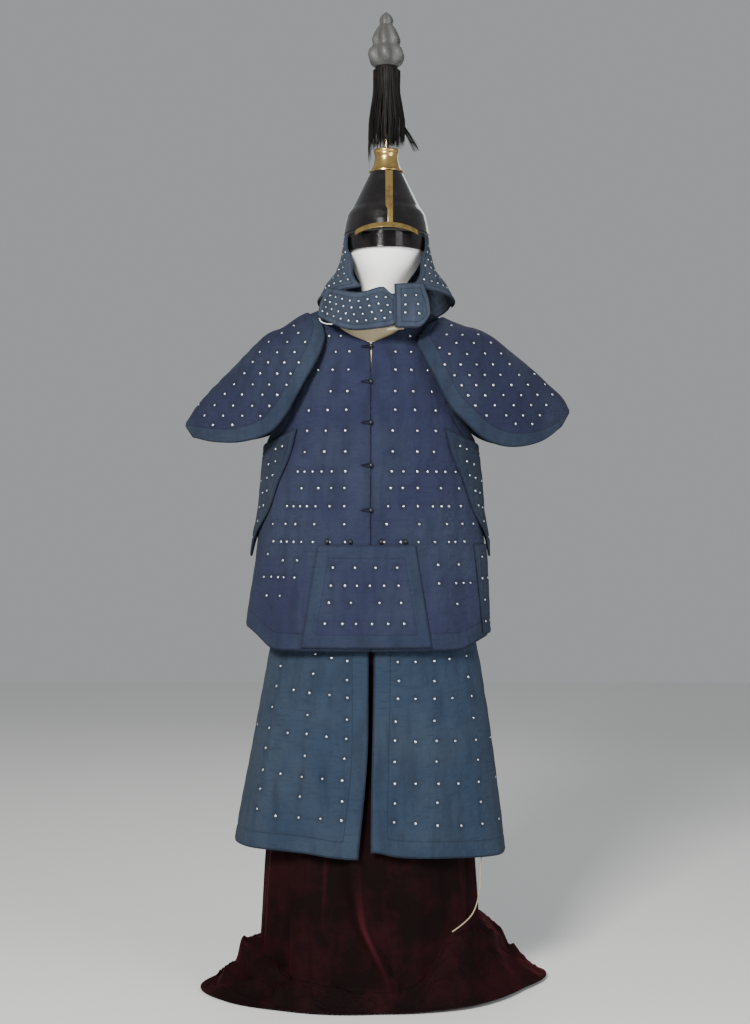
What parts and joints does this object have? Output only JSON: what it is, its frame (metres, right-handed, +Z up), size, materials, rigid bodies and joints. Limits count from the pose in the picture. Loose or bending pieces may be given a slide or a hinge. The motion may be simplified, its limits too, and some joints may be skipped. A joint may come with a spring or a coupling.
{
  "type": "manchu banner armour on a draped display stand",
  "caption": "Soldier's padded cloth armour with studded coat, shoulder guards, flaps, skirt and plumed helmet, worn by a limbless display stand",
  "frame": {"origin": "centre of the stand's flat base, on the floor", "axes": "+Z up, the armour faces -Y, +X to the viewer's right"},
  "size_m": [0.9078, 0.4775, 2.295],
  "materials": {
    "indigo_cloth": "padded indigo cotton, plain weave, worn",
    "grey_blue_cloth": "padded grey blue cotton, plain weave",
    "collar_cloth": "padded blue cotton, plain weave",
    "velvet": "dark red velvet, short pile",
    "canvas": "natural canvas, plain weave",
    "white_form": "smooth matt white",
    "stand_board": "plain board, painted dark",
    "black_lacquer": "glossy black lacquer with fine scratches",
    "brass": "aged polished brass",
    "dark_bronze": "dark worn bronze",
    "finial_horn": "dull grey, a little cloudy",
    "plume_hair": "black horse hair in locks",
    "string": "beige cotton string",
    "stud_metal": "tinned dome studs, bright with worn spots"
  },
  "bodies": {
    "root": {"stand_drum": "stand_board", "stand_drape": "velvet", "drape_heap": "velvet", "stand_torso": "canvas", "stand_head": "white_form", "skirt_right": "grey_blue_cloth", "skirt_left": "grey_blue_cloth", "skirt_waistband": "string", "skirt_tie": "string", "coat_front_right": "indigo_cloth", "coat_front_left": "indigo_cloth", "coat_back": "indigo_cloth", "front_flap": "grey_blue_cloth", "side_flap": "grey_blue_cloth", "armpit_guard_right": "grey_blue_cloth", "armpit_guard_left": "grey_blue_cloth", "shoulder_guard_right": "indigo_cloth", "shoulder_guard_left": "indigo_cloth", "helmet_bowl": "black_lacquer", "helmet_band": "black_lacquer", "helmet_front_strip": "brass", "helmet_back_strip": "brass", "helmet_brow": "brass", "helmet_socket": "brass", "cheek_guard_right": "collar_cloth", "cheek_guard_left": "collar_cloth", "nape_guard": "collar_cloth", "throat_guard": "collar_cloth", "throat_tab": "collar_cloth", "plume_rod": "brass", "plume": "plume_hair", "finial": "finial_horn", "coat_button_1": "dark_bronze", "coat_button_2": "dark_bronze", "coat_button_3": "dark_bronze", "coat_button_4": "dark_bronze", "coat_button_5": "dark_bronze", "flap_button_1": "dark_bronze", "flap_button_2": "dark_bronze", "flap_button_3": "dark_bronze", "flap_button_4": "dark_bronze"}
  },
  "joints": []
}
